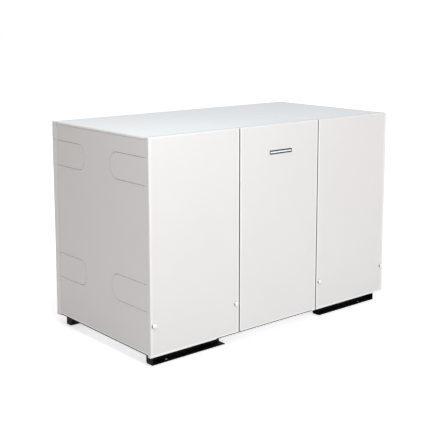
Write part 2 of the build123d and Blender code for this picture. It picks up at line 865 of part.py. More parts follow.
# Rubber feet under the compressor plates.
foot_spread = compressor_base_side - 2 * foot_inset
with BuildPart() as compressor_feet:
    for side in (-1, 1):
        with BuildSketch(Plane.XY.offset(pan_floor_z)):
            with Locations((side * compressor_x, compressor_y)):
                with GridLocations(foot_spread, foot_spread, 2, 2):
                    Circle(foot_radius)
        extrude(amount=foot_height, taper=foot_slope)
        with BuildSketch(Plane.XY.offset(pan_floor_z + foot_height)):
            with Locations((side * compressor_x, compressor_y)):
                with GridLocations(foot_spread, foot_spread, 2, 2):
                    Circle(foot_stud_radius)
        extrude(amount=compressor_base + foot_stud_proud)
write_piece(compressor_feet, "compressor_feet")

# Hermetic scroll compressors: a welded shell on a square plate, with ports and a terminal box.
compressor_low_z = pan_floor_z + foot_height
suction_port_z = compressor_low_z + suction_port_height
discharge_port_x = compressor_x - discharge_port_offset
suction_port_x = compressor_x + suction_port_offset
gas_port_y = compressor_y + compressor_radius + gas_port_length
discharge_port_z = compressor_low_z + compressor_height + gas_port_length
for side, side_name in ((-1, "left"), (1, "right")):
    centre = (side * compressor_x, compressor_y, compressor_low_z)
    with BuildPart() as compressor:
        with BuildSketch(Plane.XY.offset(compressor_low_z)):
            with Locations((centre[0], centre[1])):
                RectangleRounded(compressor_base_side, compressor_base_side, foot_radius)
                with GridLocations(foot_spread, foot_spread, 2, 2):
                    Circle(foot_stud_radius + seat_gap, mode=Mode.SUBTRACT)
        extrude(amount=compressor_base)
        shell_plane = facing_front(*centre) if side > 0 else facing_rear(*centre)
        with BuildSketch(shell_plane):
            with BuildLine():
                shell_top = compressor_height - dome_height
                Polyline((0, 0), (compressor_radius, 0), (compressor_radius, shell_top))
                EllipticalCenterArc((0, shell_top), compressor_radius, dome_height, arc_size=90)
                Line((0, compressor_height), (0, 0))
            make_face()
        revolve(axis=Axis(centre, (0, 0, 1)))
        for band_up in (band_low, band_high):
            with BuildSketch(Plane.XY.offset(compressor_low_z + band_up)):
                with Locations((centre[0], centre[1])):
                    Circle(compressor_radius + band_proud)
            extrude(amount=band_height)
        with BuildSketch(facing_front(centre[0], centre[1], compressor_low_z + terminal_box_mid)):
            RectangleRounded(terminal_box_width, terminal_box_height, terminal_box_corner)
        extrude(amount=compressor_radius + terminal_box_proud)
        with BuildSketch(facing_rear(side * suction_port_x, centre[1], suction_port_z)):
            Circle(suction_radius + gas_port_wall)
        extrude(amount=compressor_radius + gas_port_length)
        with BuildSketch(Plane.XY.offset(compressor_low_z + compressor_height - dome_height)):
            with Locations((side * discharge_port_x, centre[1])):
                Circle(discharge_radius + gas_port_wall)
        extrude(amount=dome_height + gas_port_length)
    write_piece(compressor, f"compressor_{side_name}")

# Folded stands lift the exchangers to their port heights.
with BuildPart() as exchanger_stands:
    for side in (-1, 1):
        for stand_x, stand_height in ((evaporator_x, evaporator_stand), (condenser_x, condenser_stand)):
            half = exchanger_width / 2
            with BuildSketch(Plane.XZ.offset(-(exchanger_y - exchanger_depth / 2))):
                add(
                    folded_section(
                        [
                            (side * stand_x + half, pan_floor_z),
                            (side * stand_x + half, pan_floor_z + stand_height),
                            (side * stand_x - half, pan_floor_z + stand_height),
                            (side * stand_x - half, pan_floor_z),
                        ],
                        stand_sheet,
                    )
                )
            extrude(amount=-exchanger_depth)
write_piece(exchanger_stands, "exchanger_stands")

# Brazed plate exchangers: a pack of thin lipped plates between two cover plates, with four ports.
plate_pitch = (exchanger_depth - 2 * exchanger_cover) / plate_count
port_plan = [(x * port_spread_x, z * port_spread_z) for x in (-1, 1) for z in (-1, 1)]
for kind, kind_x, mid_z in (
    ("evaporator", evaporator_x, evaporator_mid_z),
    ("condenser", condenser_x, condenser_mid_z),
):
    for side, side_name in ((-1, "left"), (1, "right")):
        pack_front_y = exchanger_y - exchanger_depth / 2
        with BuildPart() as exchanger:
            with BuildSketch(facing_front(side * kind_x, pack_front_y + exchanger_depth, mid_z)):
                core = Rectangle(exchanger_width - 2 * plate_lip, exchanger_height - 2 * plate_lip)
                chamfer(core.vertices(), length=plate_corner)
            extrude(amount=exchanger_depth)
            for index in range(plate_count + 1):
                lip_y = pack_front_y + exchanger_cover + plate_pitch * index
                cover = index in (0, plate_count)
                lip_depth = exchanger_cover if cover else plate_pitch * plate_share
                lip_rear_y = lip_y if index == 0 else lip_y + lip_depth
                with BuildSketch(facing_front(side * kind_x, lip_rear_y, mid_z)):
                    plate = Rectangle(exchanger_width, exchanger_height)
                    chamfer(plate.vertices(), length=plate_corner)
                extrude(amount=lip_depth)
            with BuildSketch(facing_rear(side * kind_x, pack_front_y + exchanger_depth, mid_z)):
                with Locations(*[(-side * port_spread_x, z * port_spread_z) for z in (-1, 1)]):
                    Circle(port_radius)
            extrude(amount=port_length)
            with BuildSketch(facing_front(side * kind_x, pack_front_y, mid_z)):
                with Locations(*port_plan):
                    Circle(refrigerant_port_radius)
            extrude(amount=port_length)
        write_piece(exchanger, f"{kind}_{side_name}")

# Water headers join the two exchangers of a kind and leave through the rear panel.
stub_end_y = rear_y + stub_proud
port_face_y = exchanger_y + exchanger_depth / 2 + port_length + seat_gap
drain_headers = {"brine_out": -drain_x, "heating_return": drain_x}
drain_front_y = header_y - header_radius - drain_length
for header_name, (stub_side, port_x, header_z) in header_places.items():
    branch_xs = [side * (port_x + port_spread_x) for side in (-1, 1)]
    header_half = port_x + port_spread_x + port_radius + header_end
    with BuildPart() as header:
        with BuildSketch(Plane.YZ.offset(-header_half)):
            with Locations((header_y, header_z)):
                Circle(header_radius)
        extrude(amount=2 * header_half)
        fillet(header.edges().filter_by(GeomType.CIRCLE), radius=header_radius / 2)
        for branch_x in branch_xs:
            with BuildSketch(facing_rear(branch_x, port_face_y, header_z)):
                Circle(port_radius)
            extrude(amount=header_y - port_face_y)
        with BuildSketch(facing_rear(stub_side * stub_x, header_y, header_z)):
            Circle(header_radius)
        extrude(amount=stub_end_y - header_y)
        with BuildSketch(facing_rear(stub_side * stub_x, stub_end_y - groove_from_end, header_z)):
            Circle(header_radius)
            Circle(header_radius - groove_depth, mode=Mode.SUBTRACT)
        extrude(amount=-groove_width, mode=Mode.SUBTRACT)
        with BuildSketch(facing_rear(stub_side * stub_x, stub_end_y, header_z)):
            Circle(header_radius - header_wall)
        extrude(amount=-(stub_end_y - header_y), mode=Mode.SUBTRACT)
        if header_name in drain_headers:
            with BuildSketch(facing_front(drain_headers[header_name], header_y, header_z)):
                Circle(drain_radius)
            extrude(amount=header_y - drain_front_y)
            hex_rear_y = drain_front_y + drain_hex_from_end
            with BuildSketch(facing_front(drain_headers[header_name], hex_rear_y, header_z)):
                RegularPolygon(drain_hex_radius, 6, major_radius=False)
            extrude(amount=drain_hex_length)
    write_piece(header, f"{header_name}_header")

# Drain valve levers turn on a short shaft over the valve body.
lever_y = drain_front_y + drain_length * lever_along_valve
for header_name, drain_at in drain_headers.items():
    valve_top_z = header_places[header_name][2] + drain_hex_radius
    with BuildPart() as lever:
        with BuildSketch(Plane.XY.offset(valve_top_z + seat_gap)):
            with Locations((drain_at, lever_y)):
                Circle(lever_hub_radius)
        extrude(amount=2 * lever_thickness)
        with BuildSketch(Plane.XY.offset(valve_top_z + seat_gap + lever_thickness)):
            with Locations((drain_at, lever_y - lever_length / 2 + lever_width / 2)):
                SlotOverall(lever_length, lever_width, rotation=90)
        extrude(amount=lever_thickness)
    write_piece(lever, "drain_lever_brine" if header_name == "brine_out" else "drain_lever_heating")


def pipe_path(points, bend):
    """Centre line of a bent tube: straight runs joined by equal bends."""
    with BuildLine() as path:
        FilletPolyline(*points, radius=bend)
    return path.line


# Copper pipes of each circuit, the same on both sides of the machine.
port_front_y = exchanger_y - exchanger_depth / 2 - port_length - seat_gap
suction_z = evaporator_mid_z + port_spread_z
discharge_z = condenser_mid_z + port_spread_z
liquid_high_z = condenser_mid_z - port_spread_z
liquid_low_z = evaporator_mid_z - port_spread_z
evaporator_gas_x = evaporator_x - port_spread_x
condenser_gas_x = condenser_x + port_spread_x
condenser_liquid_x = condenser_x - port_spread_x
evaporator_liquid_x = evaporator_x + port_spread_x
drier_low_x = condenser_x + port_spread_x + drier_from_port
drier_high_x = drier_low_x + drier_length
valve_mid_z = (liquid_high_z + liquid_low_z) / 2


def tube_run(side, points, radius, bend):
    """One tube on the given side of the machine, swept along its centre line."""
    route = [(side * x, y, z) for x, y, z in points]
    path = pipe_path(route, bend)
    with BuildPart() as tube:
        with BuildSketch(Plane(origin=path @ 0, z_dir=path % 0)):
            Circle(radius)
        sweep(path=path)
    return tube.part


with BuildPart() as suction_pipes:
    for side in (-1, 1):
        add(
            tube_run(
                side,
                [
                    (evaporator_gas_x, port_front_y, suction_z),
                    (evaporator_gas_x, pipe_lane_y, suction_z),
                    (evaporator_gas_x, pipe_lane_y, suction_port_z),
                    (suction_port_x, pipe_lane_y, suction_port_z),
                    (suction_port_x, gas_port_y + seat_gap, suction_port_z),
                ],
                suction_radius,
                pipe_bend,
            )
        )
write_piece(suction_pipes, "suction_pipes")

with BuildPart() as discharge_pipes:
    for side in (-1, 1):
        add(
            tube_run(
                side,
                [
                    (discharge_port_x, compressor_y, discharge_port_z + seat_gap),
                    (discharge_port_x, compressor_y, discharge_z),
                    (discharge_port_x, pipe_lane_y, discharge_z),
                    (condenser_gas_x, pipe_lane_y, discharge_z),
                    (condenser_gas_x, port_front_y, discharge_z),
                ],
                discharge_radius,
                pipe_bend,
            )
        )
write_piece(discharge_pipes, "discharge_pipes")

with BuildPart() as liquid_pipes:
    for side in (-1, 1):
        add(
            tube_run(
                side,
                [
                    (condenser_liquid_x, port_front_y, liquid_high_z),
                    (condenser_liquid_x, pipe_lane_y, liquid_high_z),
                    (drier_low_x - seat_gap, pipe_lane_y, liquid_high_z),
                ],
                liquid_radius,
                pipe_bend,
            )
        )
        add(
            tube_run(
                side,
                [
                    (drier_high_x + seat_gap, pipe_lane_y, liquid_high_z),
                    (evaporator_liquid_x, pipe_lane_y, liquid_high_z),
                    (evaporator_liquid_x, pipe_lane_y, valve_mid_z + valve_length / 2 + seat_gap),
                ],
                liquid_radius,
                liquid_bend,
            )
        )
        add(
            tube_run(
                side,
                [
                    (evaporator_liquid_x, pipe_lane_y, valve_mid_z - valve_length / 2 - seat_gap),
                    (evaporator_liquid_x, pipe_lane_y, liquid_low_z),
                    (evaporator_liquid_x, port_front_y, liquid_low_z),
                ],
                liquid_radius,
                liquid_bend,
            )
        )
write_piece(liquid_pipes, "liquid_pipes")

# Filter driers: a can with conical ends in the liquid line.
with BuildPart() as filter_driers:
    for side in (-1, 1):
        drier_mid_x = side * (drier_low_x + drier_high_x) / 2
        with BuildSketch(facing_front(drier_mid_x, pipe_lane_y, liquid_high_z)):
            with BuildLine():
                neck = drier_length / 2
                body = neck - drier_cone
                Polyline(
                    (-neck, 0),
                    (-neck, liquid_radius + drier_neck_wall),
                    (-body, drier_radius),
                    (body, drier_radius),
                    (neck, liquid_radius + drier_neck_wall),
                    (neck, 0),
                    (-neck, 0),
                )
            make_face()
        revolve(axis=Axis((0, pipe_lane_y, liquid_high_z), (1, 0, 0)))
write_piece(filter_driers, "filter_driers")

# Expansion valves: a body in the liquid line with a motor head towards the doors.
with BuildPart() as expansion_valves:
    for side in (-1, 1):
        with BuildSketch(Plane.XY.offset(valve_mid_z - valve_length / 2)):
            with Locations((side * evaporator_liquid_x, pipe_lane_y)):
                Circle(valve_radius)
        extrude(amount=valve_length)
        with BuildSketch(facing_front(side * evaporator_liquid_x, pipe_lane_y, valve_mid_z)):
            Circle(motor_radius)
        extrude(amount=valve_radius + motor_length)
write_piece(expansion_valves, "expansion_valves")
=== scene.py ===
import bpy
import bmesh
import math
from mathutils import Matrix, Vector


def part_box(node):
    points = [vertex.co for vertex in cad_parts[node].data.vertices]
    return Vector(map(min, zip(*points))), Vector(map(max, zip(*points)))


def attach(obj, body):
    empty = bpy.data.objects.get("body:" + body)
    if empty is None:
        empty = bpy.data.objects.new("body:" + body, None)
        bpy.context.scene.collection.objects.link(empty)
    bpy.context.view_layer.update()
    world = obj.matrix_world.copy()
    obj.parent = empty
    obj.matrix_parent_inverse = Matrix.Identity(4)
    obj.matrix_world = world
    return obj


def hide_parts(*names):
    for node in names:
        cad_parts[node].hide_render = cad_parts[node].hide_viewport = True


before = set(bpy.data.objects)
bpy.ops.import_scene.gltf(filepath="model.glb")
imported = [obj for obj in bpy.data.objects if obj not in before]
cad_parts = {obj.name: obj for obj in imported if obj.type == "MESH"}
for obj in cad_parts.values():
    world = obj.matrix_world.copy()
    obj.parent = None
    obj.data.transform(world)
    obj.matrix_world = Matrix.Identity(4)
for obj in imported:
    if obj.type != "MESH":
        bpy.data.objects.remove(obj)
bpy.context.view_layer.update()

# The camera stands off the left end of the doors, a little above the top of the cabinet.
# A small downward shift of the picture keeps the cabinet's upright edges nearly parallel.
camera_place = (-2.811, -3.294, 1.449)
camera_turn = -40.18
camera_dip = 8.80
camera_lens = 74.8
camera_shift = -0.15
bpy.ops.object.camera_add(
    location=camera_place, rotation=(math.radians(90 - camera_dip), 0, math.radians(camera_turn))
)
camera = bpy.context.object
camera.data.lens = camera_lens
camera.data.shift_y = camera_shift
bpy.context.scene.camera = camera
bpy.context.scene.view_settings.view_transform = "Standard"


# Four rails of folded 3 mm steel, closed at their outer ends and painted black, lie on the floor.
# Walking and sweeping leave a little pale dust along their lowest few millimetres.
class Wire:
    """One output socket of a material. Sums, differences and products of wires add Math nodes."""

    def __init__(self, socket):
        self.socket = socket

    def node(self, kind, settings, inputs, output=0):
        """A new node of the same material: its settings first, then its inputs' values or wires."""
        tree = self.socket.id_data
        made = tree.nodes.new("ShaderNode" + kind)
        for name, value in settings.items():
            setattr(made, name, value)
        for name, value in inputs.items():
            if isinstance(value, Wire):
                tree.links.new(value.socket, made.inputs[name])
            else:
                made.inputs[name].default_value = value
        return Wire(made.outputs[output])

    def math(self, operation, *others):
        return self.node("Math", {"operation": operation}, dict(enumerate((self, *others))))

    def __add__(self, other):
        return self.math("ADD", other)

    def __sub__(self, other):
        return self.math("SUBTRACT", other)

    def __rsub__(self, other):
        return self.math("MULTIPLY_ADD", -1, other)

    def __mul__(self, other):
        return self.math("MULTIPLY", other)

    __radd__ = __add__
    __rmul__ = __mul__


def new_material(name, values):
    """A material with these values on its Principled shader, and the wire of its Object place."""
    material = bpy.data.materials.new(name)
    material.use_nodes = True
    nodes = material.node_tree.nodes
    for socket, value in values.items():
        nodes["Principled BSDF"].inputs[socket].default_value = value
    return material, Wire(nodes.new("ShaderNodeTexCoord").outputs["Object"])


def feed(material, wires):
    """Links wires to the named sockets of a material's Principled shader."""
    tree = material.node_tree
    for socket, wire in wires.items():
        tree.links.new(wire.socket, tree.nodes["Principled BSDF"].inputs[socket])


def along(place, axis):
    """The place along X, Y or Z, in metres."""
    return place.node("SeparateXYZ", {}, {0: place}, output=axis)


def ramp(value, start, end, low=0, high=1):
    """The value's stretch from start to end, as a smooth step from low to high."""
    limits = {"From Min": start, "From Max": end, "To Min": low, "To Max": high}
    return value.node("MapRange", {"interpolation_type": "SMOOTHSTEP"}, {"Value": value, **limits})


def fade(value, start, end):
    """The value's stretch from start to end, as a smooth step from 1 to 0."""
    return ramp(value, start, end, 1, 0)


def cloud(place, scale, detail=3):
    """Soft noise of so many blotches to the metre."""
    return place.node("TexNoise", {}, {"Vector": place, "Scale": scale, "Detail": detail})


def mottle(place, scale, low, high, detail=3):
    """Noise, which mostly lies between 0.32 and 0.68, spread between two values."""
    return ramp(cloud(place, scale, detail), 0.32, 0.68, low, high)


def tint(mask, low, high):
    """Colour that goes from low to high with the mask. Each is a colour or a wire of one.

    The Mix node has its factor at input 0, its colours at 6 and 7, and their mix at output 2.
    """
    low, high = [end if isinstance(end, Wire) else (*end, 1) for end in (low, high)]
    return mask.node("Mix", {"data_type": "RGBA"}, {0: mask, 6: low, 7: high}, output=2)


def relief(height):
    """Normal of a surface whose height is given in metres."""
    return height.node("Bump", {}, {"Strength": 1, "Distance": 1, "Height": height})


def paint_nodes(material, *names):
    """Gives CAD nodes their material."""
    for name in names:
        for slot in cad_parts[name].material_slots:
            slot.material = material


rail_dust_full = 0.001
rail_dust_end = 0.016
rail_grit = 0.00003
rail_paint, place = new_material("rail_paint", {"Specular IOR Level": 0.1})
rail_dust = fade(along(place, "Z"), rail_dust_full, rail_dust_end) * mottle(place, 55, 0.2, 0.8)
feed(
    rail_paint,
    {
        "Base Color": tint(rail_dust, (0.0030, 0.0032, 0.0032), (0.014, 0.0135, 0.013)),
        "Roughness": mottle(place, 40, 0.42, 0.58),
        "Normal": relief(cloud(place, 620) * rail_grit),
    },
)
paint_nodes(
    rail_paint, "rail_front_left", "rail_front_right", "rail_rear_left", "rail_rear_right"
)

# Hexagon bolts with zinc plating, passivated to a faint blue and yellow, hold the rails to the pan.
# The lock receptacles riveted to the frame have the same plating.
zinc_grain = 0.00001
zinc, place = new_material("zinc", {"Metallic": 1.0})
feed(
    zinc,
    {
        "Base Color": tint(mottle(place, 85, 0, 1), (0.56, 0.57, 0.60), (0.66, 0.63, 0.54)),
        "Roughness": mottle(place, 150, 0.29, 0.42),
        "Normal": relief(cloud(place, 900) * zinc_grain),
    },
)
paint_nodes(zinc, "rail_bolts", "lock_receptacles")

# The pan, posts, mullions, top rails, cross bars and exchanger stands are folded galvanised sheet.
# Hot-dip zinc freezes in spangles a centimetre or so across, each with its own grey and gloss.
spangles_to_the_metre = 75
galvanised_waves = 0.00002
galvanised, place = new_material("galvanised", {"Metallic": 1.0})
spangle = place.node(
    "TexVoronoi", {}, {"Vector": place, "Scale": spangles_to_the_metre}, output="Color"
)
spangle_shade = spangle.node("SeparateColor", {}, {0: spangle})
feed(
    galvanised,
    {
        "Base Color": tint(spangle_shade, (0.44, 0.46, 0.48), (0.66, 0.67, 0.68)),
        "Roughness": ramp(spangle_shade, 0, 1, 0.50, 0.34) + mottle(place, 20, -0.04, 0.04),
        "Normal": relief(cloud(place, 300) * galvanised_waves),
    },
)
paint_nodes(
    galvanised,
    "base_pan",
    "front_posts",
    "rear_posts",
    "mullions",
    "top_rail_front",
    "top_rail_rear",
    "top_bars",
    "exchanger_stands",
)


# Each compressor stands on four rubber feet, moulded with a slight taper.
# Rubber stays dull, with a bloom that greys it in places.
def moulded(name, colour, shade, roughness, grain):
    """Moulded plastic or rubber with a grain in metres, and the wires of its place and colour."""
    material, place = new_material(name, {})
    drift = tint(mottle(place, 24, 0, 1), colour, shade)
    feed(
        material,
        {
            "Base Color": drift,
            "Roughness": mottle(place, 110, roughness - 0.05, roughness + 0.05),
            "Normal": relief(cloud(place, 1500, 2) * grain),
        },
    )
    return material, place, drift


rubber, _, _ = moulded(
    "rubber", (0.010, 0.010, 0.010), (0.028, 0.027, 0.026), roughness=0.72, grain=0.00002
)
paint_nodes(rubber, "compressor_feet")

# The compressor shells are welded steel sprayed with black enamel.
# The enamel is glossy and shows more orange peel than the cabinet's powder coat.
enamel_peel = 0.00006
enamel, place = new_material("enamel", {"Coat Roughness": 0.08})
feed(
    enamel,
    {
        "Base Color": tint(mottle(place, 12, 0, 1), (0.005, 0.005, 0.006), (0.010, 0.010, 0.011)),
        "Roughness": mottle(place, 60, 0.29, 0.40),
        "Coat Weight": mottle(place, 9, 0.35, 0.65),
        "Normal": relief(cloud(place, 260) * enamel_peel),
    },
)
paint_nodes(enamel, "compressor_left", "compressor_right")


# The exchangers are stacks of pressed stainless plates, brazed with copper in a furnace.
# A thin line of copper shows between each two plates, and heat has left the steel a little straw.
def band(value, rise, fall):
    """A step up over one stretch of the value and down again over another."""
    return ramp(value, *rise) * fade(value, *fall)


exchanger_low, exchanger_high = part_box("evaporator_left")
port_length = 0.012
cover_plate = 0.008
plate_count = 12
braze_rise, braze_fall = (0.44, 0.52), (0.93, 0.99)
braze_cover = 0.8
steel_grain = 0.00002
stack_low_y = exchanger_low.y + port_length + cover_plate
stack_high_y = exchanger_high.y - port_length - cover_plate
plates_to_the_metre = plate_count / (stack_high_y - stack_low_y)
stainless, place = new_material("stainless", {"Metallic": 1.0})
turn_of_plate = ((along(place, "Y") - stack_low_y) * plates_to_the_metre).math("FRACT")
braze = band(turn_of_plate, braze_rise, braze_fall) * braze_cover
steel_colour = tint(mottle(place, 26, 0, 1), (0.52, 0.51, 0.49), (0.60, 0.56, 0.48))
feed(
    stainless,
    {
        "Base Color": tint(braze, steel_colour, (0.58, 0.27, 0.15)),
        "Roughness": mottle(place, 90, 0.29, 0.44),
        "Normal": relief(cloud(place, 500) * steel_grain),
    },
)
paint_nodes(stainless, "evaporator_left", "evaporator_right", "condenser_left", "condenser_right")

# The water headers are black steel pipe with welded branches, and their grooved stubs leave
# through the rear panel. Mill scale gives the pipe brown and blue-black patches.
mill_scale = 0.00005
pipe_steel, place = new_material("pipe_steel", {"Specular IOR Level": 0.5})
feed(
    pipe_steel,
    {
        "Base Color": tint(mottle(place, 30, 0, 1), (0.010, 0.011, 0.013), (0.030, 0.024, 0.020)),
        "Roughness": mottle(place, 75, 0.36, 0.58),
        "Normal": relief(cloud(place, 350) * mill_scale),
    },
)
paint_nodes(
    pipe_steel,
    "brine_in_header",
    "brine_out_header",
    "heating_flow_header",
    "heating_return_header",
)


# Suction, discharge and liquid pipes and the filter driers are drawn copper.
# Handling and brazing leave the copper darker and duller in places.
def bare_metal(name, colour, shade, roughness, grain=0.00001):
    """Bare drawn or forged metal with a fine grain and patches that have tarnished to the shade."""
    material, place = new_material(name, {"Metallic": 1.0})
    feed(
        material,
        {
            "Base Color": tint(mottle(place, 18, 0, 1, 5), colour, shade),
            "Roughness": mottle(place, 45, roughness - 0.08, roughness + 0.08),
            "Normal": relief(cloud(place, 800) * grain),
        },
    )
    return material


copper = bare_metal("copper", (0.72, 0.36, 0.22), (0.46, 0.20, 0.12), roughness=0.37)
paint_nodes(copper, "suction_pipes", "discharge_pipes", "liquid_pipes", "filter_driers")

# The expansion valves are forged brass, machined bright at the ends.
# Brass tarnishes less than the copper beside it.
brass = bare_metal("brass", (0.68, 0.47, 0.20), (0.55, 0.36, 0.14), roughness=0.37)
paint_nodes(brass, "expansion_valves")


# The electrical box and its cover are light grey powder-coated sheet.
# They hang between the mullions behind the middle door.
def powder_coat(name, colour, shade, foot_z=None, shaded_xs=(-1, 1)):
    """Baked powder paint that drifts between two colours, and the wires of its place and colour.

    Above a foot it has a painted highlight along the bottom fold, and below it a dull line of painted
    shade on the lowest 6 mm from the first shaded x to the second.
    """
    paint, place = new_material(name, {"Specular IOR Level": 0.35})
    peel_height, wave_height = 0.000016, 0.0003
    peel_and_waves = cloud(place, 420, 2) * peel_height + cloud(place, 4, 1) * wave_height
    drift = tint(mottle(place, 2.4, 0, 1), colour, shade)
    roughness = mottle(place, 16, 0.30, 0.32)
    if foot_z is not None:
        # Painted highlight on the bottom fold, and a dull line of painted shade at the foot.
        shade_line_full, shade_line_end = 0.0048, 0.0062
        fold_highlight_full, fold_highlight_end = 0.0100, 0.0120
        shade_line_taper, shade_line_dullness = 0.008, 0.6
        height = along(place, "Z") - foot_z
        half = (shaded_xs[1] - shaded_xs[0]) / 2
        from_half = (along(place, "X") - (shaded_xs[0] + half)).math("ABSOLUTE")
        shade_line = fade(height, shade_line_full, shade_line_end) * fade(from_half, half - shade_line_taper, half)
        drift = tint(fade(height, fold_highlight_full, fold_highlight_end), drift, (0.96, 0.955, 0.945))
        drift = tint(shade_line, drift, (0.05, 0.05, 0.05))
        roughness = roughness + shade_line * shade_line_dullness
    normal = relief(peel_and_waves)
    feed(paint, {"Base Color": drift, "Roughness": roughness, "Normal": normal})
    return paint, place, drift


box_paint, _, _ = powder_coat("box_paint", (0.56, 0.57, 0.57), (0.60, 0.61, 0.61))
paint_nodes(box_paint, "control_box", "control_box_cover")


# Four pan-head screws with a cross recess hold the cover of the box, in from its corners.
# They are zinc plated like the bolts, and their heads are pressed with a low crown.
def clear_selection():
    """Nothing selected, and object mode."""
    if bpy.context.object and bpy.context.object.mode != "OBJECT":
        bpy.ops.object.mode_set(mode="OBJECT")
    bpy.ops.object.select_all(action="DESELECT")


def choose_edges(test):
    """In edit mode, selects just the edges of the active mesh that pass the test."""
    bpy.ops.mesh.select_mode(type="EDGE")
    bpy.ops.mesh.select_all(action="DESELECT")
    body = bmesh.from_edit_mesh(bpy.context.object.data)
    for edge in body.edges:
        edge.select_set(test(edge))
    body.select_flush_mode()
    bmesh.update_edit_mesh(bpy.context.object.data)


def keep_place(piece):
    """Puts a piece's place, turn and size into its mesh, and its origin at the world's."""
    clear_selection()
    piece.select_set(True)
    bpy.context.view_layer.objects.active = piece
    bpy.ops.object.transform_apply(location=True, rotation=True, scale=True)


screw_radius = 0.004
screw_height = 0.0024
screw_rim_z = screw_height * 0.4
screw_crown = screw_height * 0.55
recess_width = 0.0011
recess_length = 0.0046
recess_depth = 0.0016
clear_selection()
bpy.ops.mesh.primitive_cylinder_add(vertices=48, radius=screw_radius, depth=screw_height)
screw_head = bpy.context.object
bpy.ops.object.mode_set(mode="EDIT")
choose_edges(lambda edge: min(v.co.z for v in edge.verts) > screw_rim_z)
bpy.ops.mesh.bevel(offset=screw_crown, segments=5, profile=0.5, affect="EDGES")
bpy.ops.object.mode_set(mode="OBJECT")
for quarter in (0, 90):
    clear_selection()
    bpy.ops.mesh.primitive_cube_add(
        size=1,
        location=(0, 0, screw_height / 2),
        rotation=(0, 0, math.radians(quarter)),
        scale=(recess_length, recess_width, 2 * recess_depth),
    )
    cutter = bpy.context.object
    clear_selection()
    screw_head.select_set(True)
    bpy.context.view_layer.objects.active = screw_head
    cut = screw_head.modifiers.new("recess", "BOOLEAN")
    cut.object = cutter
    cut.operation = "DIFFERENCE"
    bpy.ops.object.modifier_apply(modifier=cut.name)
    bpy.data.objects.remove(cutter)


def drive_screws(name, replaced, places, turn):
    """One piece of screw heads at the places, turned to face their side, in a CAD node's stead."""
    heads = []
    for place in places:
        head = screw_head.copy()
        head.data = screw_head.data.copy()
        bpy.context.scene.collection.objects.link(head)
        head.location = place
        head.rotation_euler = (math.radians(turn), 0, 0)
        heads.append(head)
    clear_selection()
    for head in heads:
        head.select_set(True)
    bpy.context.view_layer.objects.active = heads[0]
    bpy.ops.object.join()
    piece = bpy.context.object
    piece.name = name
    keep_place(piece)
    bpy.ops.object.shade_smooth_by_angle(angle=math.radians(35))
    piece.data.materials.append(zinc)
    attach(piece, "cabinet")
    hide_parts(replaced)


cover_front_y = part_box("control_box_cover")[0].y
cover_screw_low, cover_screw_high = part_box("cover_screws")
drive_screws(
    "box_cover_screws",
    "cover_screws",
    places=[
        (x, cover_front_y - screw_height / 2, z)
        for x in (cover_screw_low.x + screw_radius, cover_screw_high.x - screw_radius)
        for z in (cover_screw_low.z + screw_radius, cover_screw_high.z - screw_radius)
    ],
    turn=90,
)

# The switch body, contactors and cable glands are black moulded plastic.
# The terminal blocks and the control unit are grey, and the switch handle and drain levers red.
black_plastic, _, _ = moulded(
    "black_plastic", (0.010, 0.010, 0.011), (0.016, 0.016, 0.017), roughness=0.42, grain=0.000012
)
paint_nodes(black_plastic, "main_switch", "contactors", "cable_glands")
grey_plastic, _, _ = moulded(
    "grey_plastic", (0.30, 0.31, 0.32), (0.34, 0.35, 0.36), roughness=0.45, grain=0.000012
)
paint_nodes(grey_plastic, "terminal_blocks", "control_unit")
red_plastic, _, _ = moulded(
    "red_plastic", (0.42, 0.012, 0.010), (0.50, 0.018, 0.014), roughness=0.34, grain=0.000006
)
paint_nodes(red_plastic, "main_switch_handle", "drain_lever_brine", "drain_lever_heating")


# Side and rear panels are folded 1.5 mm sheet with a baked white powder coat.
# The coat has a fine orange peel, painted shade just under the tops, a painted highlight on the rear
# panel's returns, and at the foot a painted highlight on the fold over a line of painted shade.
def measured_from(edge, stretch):
    """A stretch's two places, when its ends are given from an edge."""
    return [edge + end for end in stretch]


panel_white, panel_white_shade = (0.804, 0.799, 0.790), (0.811, 0.807, 0.798)
side_low, side_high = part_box("side_panel_left")
shade_under_top_rise = (-0.0026, -0.0010)
side_paint, place, drift = powder_coat("side_paint", panel_white, panel_white_shade, side_low.z)
# Painted shade just under the top panels.
painted_shade_under_top = ramp(along(place, "Z"), *measured_from(side_high.z, shade_under_top_rise))
feed(side_paint, {"Base Color": tint(painted_shade_under_top, drift, (0.72, 0.71, 0.70))})
paint_nodes(side_paint, "side_panel_left", "side_panel_right")
rear_low, rear_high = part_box("rear_panel")
return_rise = (-0.0025, -0.0010)
corner_fall = (-0.012, -0.007)
rear_paint, place, drift = powder_coat("rear_paint", panel_white, panel_white_shade, rear_low.z)
# A painted highlight on the rear panel's returns.
return_highlight = ramp(along(place, "X").math("ABSOLUTE"), *measured_from(rear_high.x, return_rise))
before_corner = fade(along(place, "Y"), *measured_from(rear_high.y, corner_fall))
feed(rear_paint, {"Base Color": tint(return_highlight * before_corner, drift, (0.90, 0.892, 0.882))})
paint_nodes(rear_paint, "rear_panel")

# Eight more of the pan-head screws hold the rear panel, four along its top and four along its foot.
# The outer ones are near its corners, and the inner ones divide its width in three.
screw_low, screw_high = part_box("rear_screws")
inner_screw_x = (rear_high.x - rear_low.x) / 6
rear_screw_xs = (
    screw_low.x + screw_radius, -inner_screw_x, inner_screw_x, screw_high.x - screw_radius
)
rear_screw_zs = (screw_low.z + screw_radius, screw_high.z - screw_radius)
drive_screws(
    "rear_panel_screws",
    "rear_screws",
    places=[(x, rear_high.y + screw_height / 2, z) for x in rear_screw_xs for z in rear_screw_zs],
    turn=-90,
)
bpy.data.objects.remove(screw_head)


